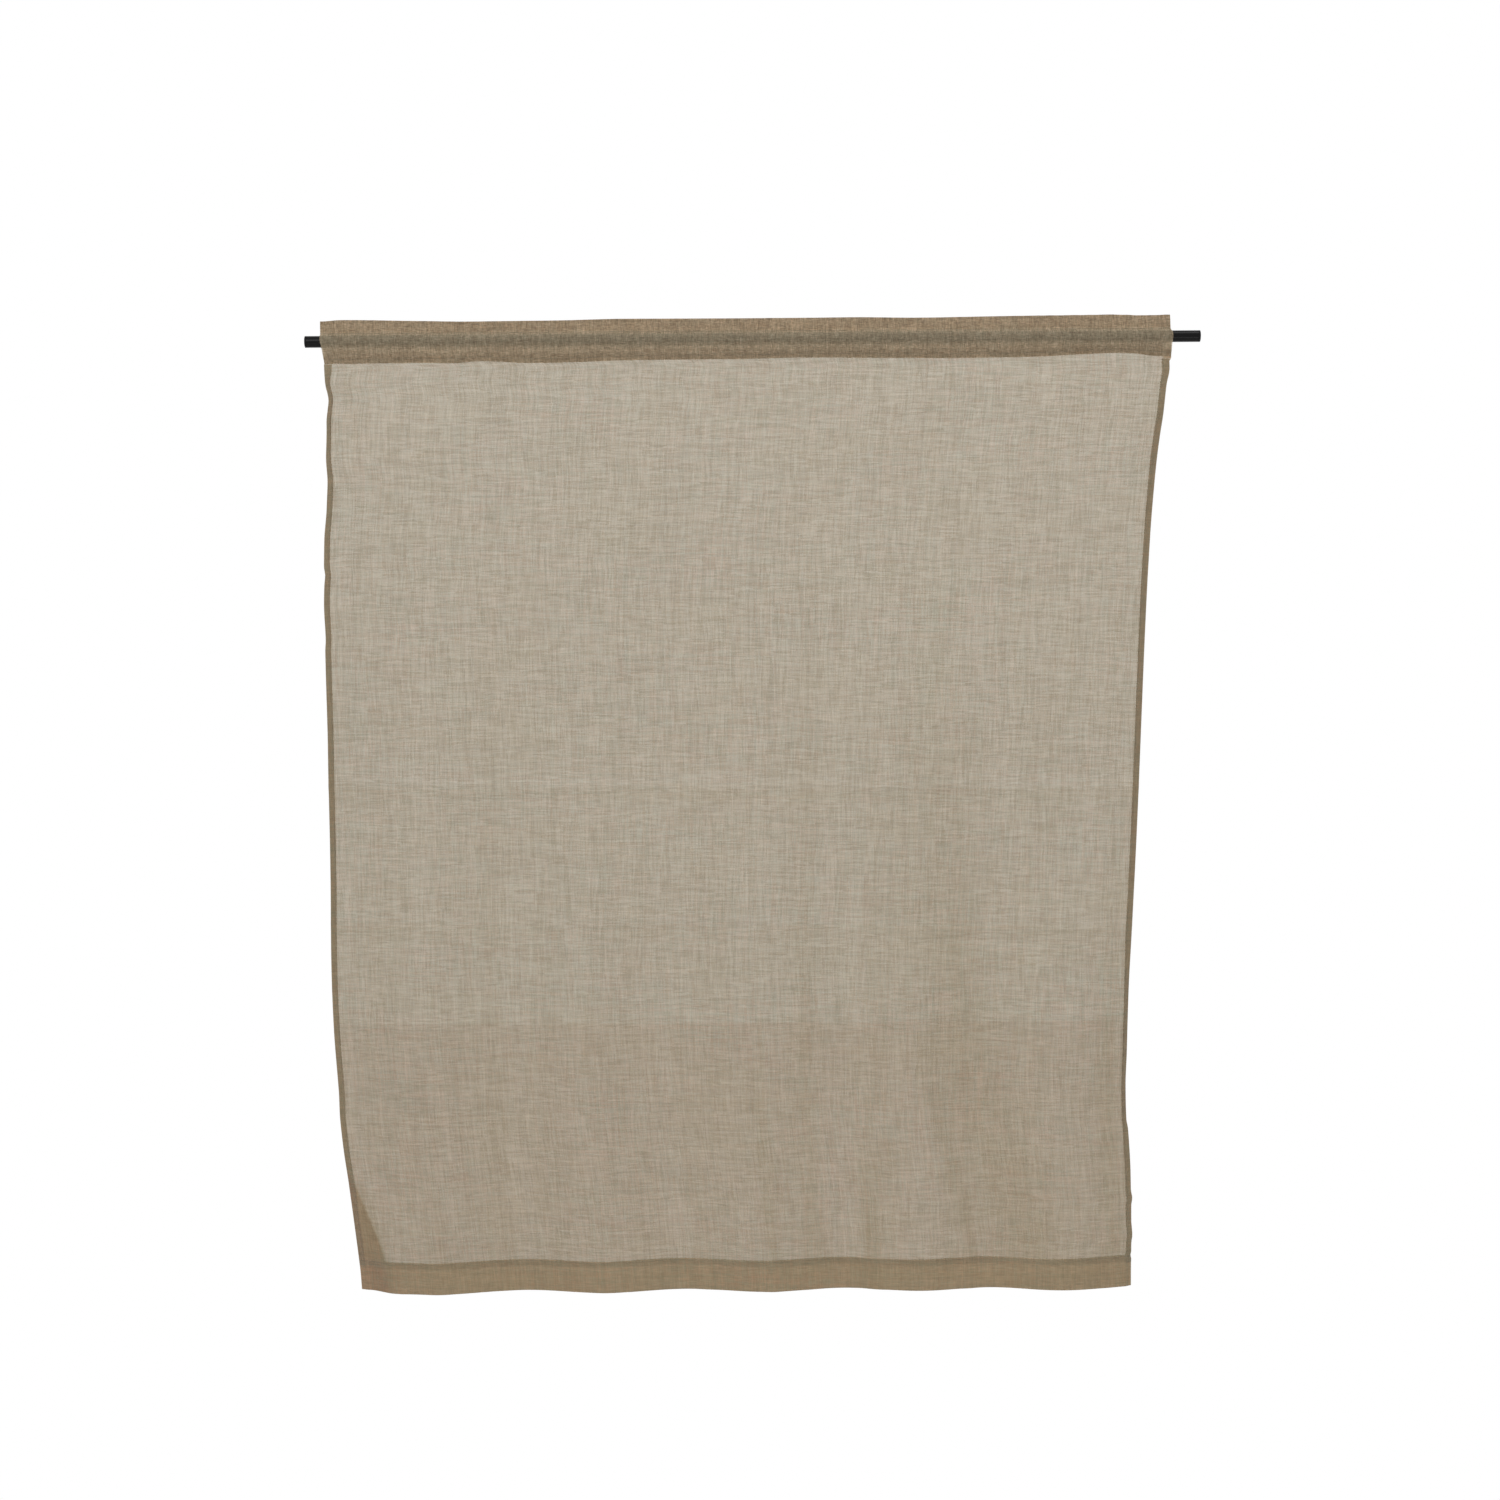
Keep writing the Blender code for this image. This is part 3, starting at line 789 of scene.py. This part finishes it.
def drape_surface(flat_x, drop):
    """Where the cloth's face hangs: between its side lines, with its edges curled to the back, its
    folds, and the turn of its return side near the foot."""
    down = drop / HANG
    z = BAND_EDGE - drop
    left = side_line(RETURN_LINE, z) + through(RETURN_SCALLOPS, drop)
    right = side_line(LEADING_LINE, z) + through(LEADING_SCALLOPS, drop)
    left_angle = np.radians(through(RETURN_CURL, drop))
    right_angle = np.radians(through(LEADING_CURL, drop))
    left_loss, left_back = curled_edge(flat_x, left_angle)
    right_loss, right_back = curled_edge(WIDTH - flat_x, right_angle)
    full_left, full_right = (1 - np.cos(left_angle)) * CURLED, (1 - np.cos(right_angle)) * CURLED
    lost = left_loss + np.where(flat_x > WIDTH / 2, full_right - right_loss, 0)
    share = (flat_x - lost) / (WIDTH - full_left - full_right)
    x = left + (right - left) * share
    fading = np.exp(-drop / SWAY_FADE)
    y = -LAYER + hang(share, down) + fading * band_sway(flat_x) + left_back + right_back
    turned = ease((down - TURN_TOP) / (1.0 - TURN_TOP))
    inward = (flat_x - 0.010) / (TURN_WIDTH * (0.25 + 0.75 * turned))
    past_turn = np.exp(-np.maximum(flat_x - 0.08, 0) / 0.06)
    y = y + turned * TURN_DEPTH * (0.35 - ease(inward)) * past_turn
    wave = parting(flat_x) * np.exp(-drop / PARTING_FADE)
    return np.stack([x, y, z + wave], axis=-1)


def marked_yarn_and_shade(flat_x, drop):
    """How much more yarn is marked behind each place: painted shade in the soft folds, painted
    shade below and painted highlight above the creases of packing, and more yarn where the return
    side turns back near the foot."""
    more = 0 * flat_x * drop
    # Painted shade along each soft fold, marked as more yarn.
    for fold in SOFT_FOLDS:
        more = more + fold[5] * in_fold(flat_x / WIDTH, drop / HANG, fold)
    # Painted shade below each crease and painted highlight above it, marked as more and less yarn.
    for place, _, thick in CREASES:
        below = drop - place - CREASE_LEAN * flat_x / WIDTH
        under = np.exp(-(((below - 0.010) / CREASE_SHADE) ** 2))
        over = np.exp(-(((below + 0.008) / CREASE_SHADE) ** 2))
        more = more + thick * (under - over)
    reach = np.interp(drop, *TURNED_BACK)
    turned = ease((reach - flat_x) / 0.007 + 0.5) * ease((drop - TURNED_BACK[0][0]) / 0.03)
    return 1 + more + TURNED_YARN * turned


def make_drape():
    """The drape, whose top row meets the last row of the heading's single cloth."""
    flat_x = np.linspace(0, WIDTH, ACROSS)[None, :]
    drop = np.linspace(0, HANG, DOWN)[:, None]
    points = cloth_at(flat_x, drop)
    points[0, :, 0] = heading_points(flat_x[0], heading_path()[:1])[0, :, 0]
    points[0, :, 1] = -LAYER
    flat = np.stack(np.broadcast_arrays(flat_x, FLAT_BAND + drop), axis=2)
    drape = cloth_piece("drape", points, flat, marked_yarn_and_shade(flat_x, drop))
    dress(drape, ["drape_cloth"], "sheer_cloth", "drape")


make_drape()

# ---- The hems: each edge turned twice to the back ----
# The raw edge is turned in inside the hem, so three layers lie on each other along the sides and
# the foot. The side hems are 12 mm wide and the foot's hem is 50 mm deep.
HEM_LAYER = 0.00045
HEM_BULGE = 0.0002
HEM_TOP = 0.0005
SIDE_TURN_IN = SIDE_HEM - 0.001
SIDE_IN_FOOT = 0.012
FOOT_TURN_IN = 0.010
HEM_ON_BOLT = 2.0


def hem_section(width, lift, turned_in):
    """(distance in from the fold, distance behind the cloth) across a hem turned twice."""
    turn = np.radians(np.linspace(-90, 90, 7))
    half = HEM_LAYER / 2
    outer = [(-lift / 2 * math.cos(a), lift / 2 + lift / 2 * math.sin(a)) for a in turn]
    flat_run = [(width * i / 4, lift) for i in (1, 2, 3)]
    inner = [(width + HEM_BULGE * math.cos(a), lift - half + half * math.sin(a)) for a in -turn]
    return np.array(outer + flat_run + inner + [(width - turned_in, lift - HEM_LAYER)])


def make_side_hem(node, name, body, leading):
    """A side's hem, from the band down into the foot's hem."""
    section = hem_section(SIDE_HEM, 2 * HEM_LAYER, SIDE_TURN_IN)
    foot = HANG - BOTTOM_HEM + SIDE_IN_FOOT
    drop = np.linspace(HEM_TOP, foot, DOWN)[::1 if leading else -1, None]
    inward, back = section[:, 0][None, :], section[:, 1][None, :]
    flat_x = WIDTH - inward if leading else inward
    flat_x, drop, back = np.broadcast_arrays(flat_x, drop, back)
    points = cloth_at(flat_x, drop, back)
    run = run_along(section)
    on_bolt = np.broadcast_to(HEM_ON_BOLT + run[None, :], drop.shape)
    flat = np.stack([on_bolt, FLAT_BAND + drop], axis=2)
    hem = cloth_piece(name, points, flat)
    dress(hem, [node], "folded_cloth", body)


def make_bottom_hem():
    """The foot's hem, turned up over the ends of the side hems."""
    section = hem_section(BOTTOM_HEM, 4 * HEM_LAYER, FOOT_TURN_IN)
    flat_x = np.linspace(0, WIDTH, ACROSS)[None, :]
    up, back = section[:, 0][:, None], section[:, 1][:, None]
    flat_x, up, back = np.broadcast_arrays(flat_x, up, back)
    points = cloth_at(flat_x, HANG - up, back)
    run = run_along(section)
    flat = np.stack([flat_x, np.broadcast_to(FLAT_LENGTH + run[:, None], up.shape)], axis=2)
    hem = cloth_piece("foot_hem", points, flat)
    dress(hem, ["bottom_hem"], "folded_cloth", "drape")


make_side_hem("return_side_hem", "return_hem", "drape", False)
make_side_hem("leading_side_hem", "leading_hem", "leading_edge", True)
make_bottom_hem()

# ---- The seams: rows of lockstitch ----
# Polyester thread close to the cloth's colour. Each stitch shows on the face and on the back, and
# dips into the cloth between one and the next.
STITCH_PITCH = 0.0034
STITCH_LENGTH = 0.0027
THREAD_RADIUS = 0.00022
THREAD_SIDES = 5
THREAD_COLOUR = (0.44, 0.37, 0.255)
THREAD_ROUGHNESS = 0.6
THREAD_SHEEN = 0.2
PLY_SHADE = 0.75
PLY_HEIGHT = 0.0001
SEAM_INSET = 0.002
SEAM_END = 0.002
SEAM_SHORT = 0.001
SEAM_PAST_FOLD = 0.0008


def stitch_tree():
    """Geometry nodes: resamples a chain of edges and lays one stitch on each point."""
    tree = bpy.data.node_groups.new("stitches", "GeometryNodeTree")
    tree.interface.new_socket("Row", in_out="INPUT", socket_type="NodeSocketGeometry")
    for name in ("Pitch", "Length", "Radius"):
        tree.interface.new_socket(name, in_out="INPUT", socket_type="NodeSocketFloat")
    tree.interface.new_socket("Thread", in_out="INPUT", socket_type="NodeSocketMaterial")
    tree.interface.new_socket("Stitches", in_out="OUTPUT", socket_type="NodeSocketGeometry")
    group, result = tree.nodes.new("NodeGroupInput"), tree.nodes.new("NodeGroupOutput")
    to_curve = tree.nodes.new("GeometryNodeMeshToCurve")
    resample = tree.nodes.new("GeometryNodeResampleCurve")
    resample.mode = "LENGTH"
    stitch = tree.nodes.new("GeometryNodeMeshCylinder")
    stitch.fill_type = "TRIANGLE_FAN"
    stitch.inputs["Vertices"].default_value = THREAD_SIDES
    stitch.inputs["Side Segments"].default_value = 2
    scatter = tree.nodes.new("GeometryNodeInstanceOnPoints")
    tangent = tree.nodes.new("GeometryNodeInputTangent")
    align = tree.nodes.new("FunctionNodeAlignRotationToVector")
    realize = tree.nodes.new("GeometryNodeRealizeInstances")
    colour = tree.nodes.new("GeometryNodeSetMaterial")
    smooth = tree.nodes.new("GeometryNodeSetShadeSmooth")
    link = tree.links.new
    link(group.outputs["Row"], to_curve.inputs[0])
    link(to_curve.outputs[0], resample.inputs["Curve"])
    link(group.outputs["Pitch"], resample.inputs["Length"])
    link(resample.outputs[0], scatter.inputs["Points"])
    link(group.outputs["Length"], stitch.inputs["Depth"])
    link(group.outputs["Radius"], stitch.inputs["Radius"])
    link(stitch.outputs["Mesh"], scatter.inputs["Instance"])
    link(tangent.outputs[0], align.inputs["Vector"])
    link(align.outputs[0], scatter.inputs["Rotation"])
    link(scatter.outputs[0], realize.inputs[0])
    link(realize.outputs[0], smooth.inputs[0])
    link(smooth.outputs[0], colour.inputs["Geometry"])
    link(group.outputs["Thread"], colour.inputs["Material"])
    link(colour.outputs[0], result.inputs[0])
    return tree


def thread():
    """Twisted polyester thread, with fine plies and painted shade between one and the next."""
    material = bpy.data.materials.new("thread")
    material.use_nodes = True
    tree = material.node_tree
    shader = tree.nodes["Principled BSDF"]
    place = tree.nodes.new("ShaderNodeTexCoord").outputs["Object"]
    plies = noise(tree, place, (2600, 2600, 2600), 1.0)
    # Painted shade between the plies.
    dark = tuple(PLY_SHADE * channel for channel in THREAD_COLOUR)
    shade = mixed(tree, ranged(tree, plies, 0.35, 0.65, 0.0, 1.0), dark, THREAD_COLOUR)
    tree.links.new(shade, shader.inputs["Base Color"])
    shader.inputs["Roughness"].default_value = THREAD_ROUGHNESS
    shader.inputs["Sheen Weight"].default_value = THREAD_SHEEN
    tree.links.new(bumped(tree, plies, PLY_HEIGHT, 0.4), shader.inputs["Normal"])
    return material


STITCHES = stitch_tree()
THREAD = thread()


def sew(node, name, rows, body):
    """Stitches along each row of points, made a plain mesh before they ride."""
    points, edges = [], []
    for row in rows:
        edges += [(len(points) + i, len(points) + i + 1) for i in range(len(row) - 1)]
        points += [tuple(p) for p in row]
    mesh = bpy.data.meshes.new(name + "_row")
    mesh.from_pydata(points, edges, [])
    guide = bpy.data.objects.new(name + "_row", mesh)
    scene.collection.objects.link(guide)
    modifier = guide.modifiers.new("stitches", "NODES")
    modifier.node_group = STITCHES
    values = {"Pitch": STITCH_PITCH, "Length": STITCH_LENGTH}
    values |= {"Radius": THREAD_RADIUS, "Thread": THREAD}
    for item in STITCHES.interface.items_tree:
        if item.name in values:
            modifier[item.identifier] = values[item.name]
    evaluated = guide.evaluated_get(bpy.context.evaluated_depsgraph_get())
    made = bpy.data.meshes.new_from_object(evaluated)
    bpy.data.objects.remove(guide)
    seam = bpy.data.objects.new(name, made)
    made.name = name
    scene.collection.objects.link(seam)
    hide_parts(node)
    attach(seam, body)
    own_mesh(seam)


def heading_row(z, front, back):
    """A row through the heading at a height, on its face and on its back."""
    flat_x = np.linspace(SEAM_END, WIDTH - SEAM_END, 4 * ACROSS)
    return [heading_points(flat_x, np.array([(y, z)]))[0] for y in (front, back)]


def hem_row(flat_x, drop, back):
    """A row through a hem, on the cloth's face and on the hem's back."""
    shape = np.broadcast(flat_x, drop).shape
    return [cloth_at(flat_x, drop, np.full(shape, behind)) for behind in (-THREAD_RADIUS, back)]


def make_seams():
    """Two rows through the heading, above and below the rod, and one along each hem."""
    lift = THREAD_RADIUS
    at_header = heading_row(HEADER_SEAM + SEAM_PAST_FOLD, -LAYER / 2 - lift, LAYER / 2 + lift)
    at_channel = heading_row(CHANNEL_SEAM - SEAM_PAST_FOLD, -LAYER - lift, LAYER + lift)
    drop = np.linspace(SEAM_END, HANG - BOTTOM_HEM - SEAM_SHORT, 2 * DOWN)
    side_back, inset = 2 * HEM_LAYER + lift, SIDE_HEM - SEAM_INSET
    at_return = hem_row(inset, drop, side_back)
    at_leading = hem_row(WIDTH - inset, drop, side_back)
    flat_x = np.linspace(SEAM_END, WIDTH - SEAM_END, 4 * ACROSS)
    at_foot = hem_row(flat_x, HANG - BOTTOM_HEM + SEAM_INSET, 4 * HEM_LAYER + lift)
    sew("header_seam", "header_stitches", at_header, "heading")
    sew("channel_seam", "channel_stitches", at_channel, "heading")
    sew("return_side_seam", "return_stitches", at_return, "drape")
    sew("leading_side_seam", "leading_stitches", at_leading, "leading_edge")
    sew("bottom_hem_seam", "foot_stitches", at_foot, "drape")


make_seams()
